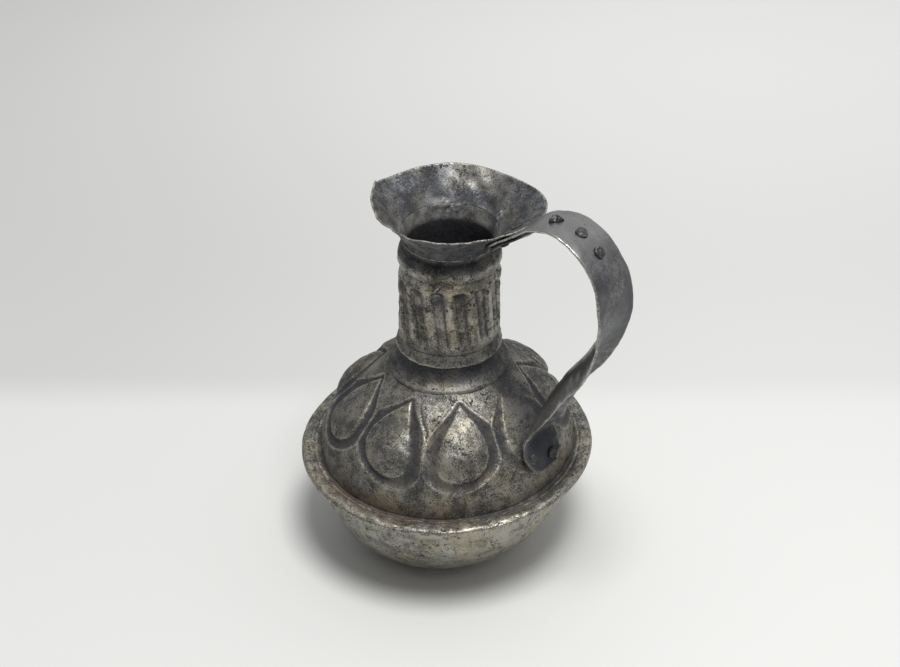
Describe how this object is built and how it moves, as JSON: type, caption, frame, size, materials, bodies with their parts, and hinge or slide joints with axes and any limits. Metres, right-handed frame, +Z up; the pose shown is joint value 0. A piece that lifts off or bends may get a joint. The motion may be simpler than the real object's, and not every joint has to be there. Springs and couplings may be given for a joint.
{
  "type": "copper jug",
  "caption": "Tinned copper jug with a round bowl, chased shoulder, brim, fluted neck, funnel mouth with a beak, and a riveted strap handle.",
  "frame": {"origin": "middle of the flat underside of the bowl", "axes": "+Z up, +X toward the handle, and the beak of the mouth is toward -X"},
  "size_m": [0.1743, 0.15, 0.2152],
  "materials": {
    "tinned_body": "worn tinned copper, darkened, with black pitting",
    "tinned_neck": "worn tinned copper, darkened in the flutes",
    "dark_strap": "dark worn tinned copper, smooth at the edges",
    "rivet_metal": "dark hammered rivet heads"
  },
  "bodies": {
    "root": {"lower_bowl": "tinned_body", "shoulder": "tinned_body", "neck_collar": "tinned_body", "neck_tube": "tinned_neck", "mouth_funnel": "tinned_neck", "handle_strap": "dark_strap", "handle_bracket": "dark_strap", "mouth_rivet_1": "rivet_metal", "mouth_rivet_2": "rivet_metal", "arch_rivet_1": "rivet_metal", "arch_rivet_2": "rivet_metal", "arch_rivet_3": "rivet_metal", "palm_rivet_1": "rivet_metal", "palm_rivet_2": "rivet_metal"}
  },
  "joints": []
}
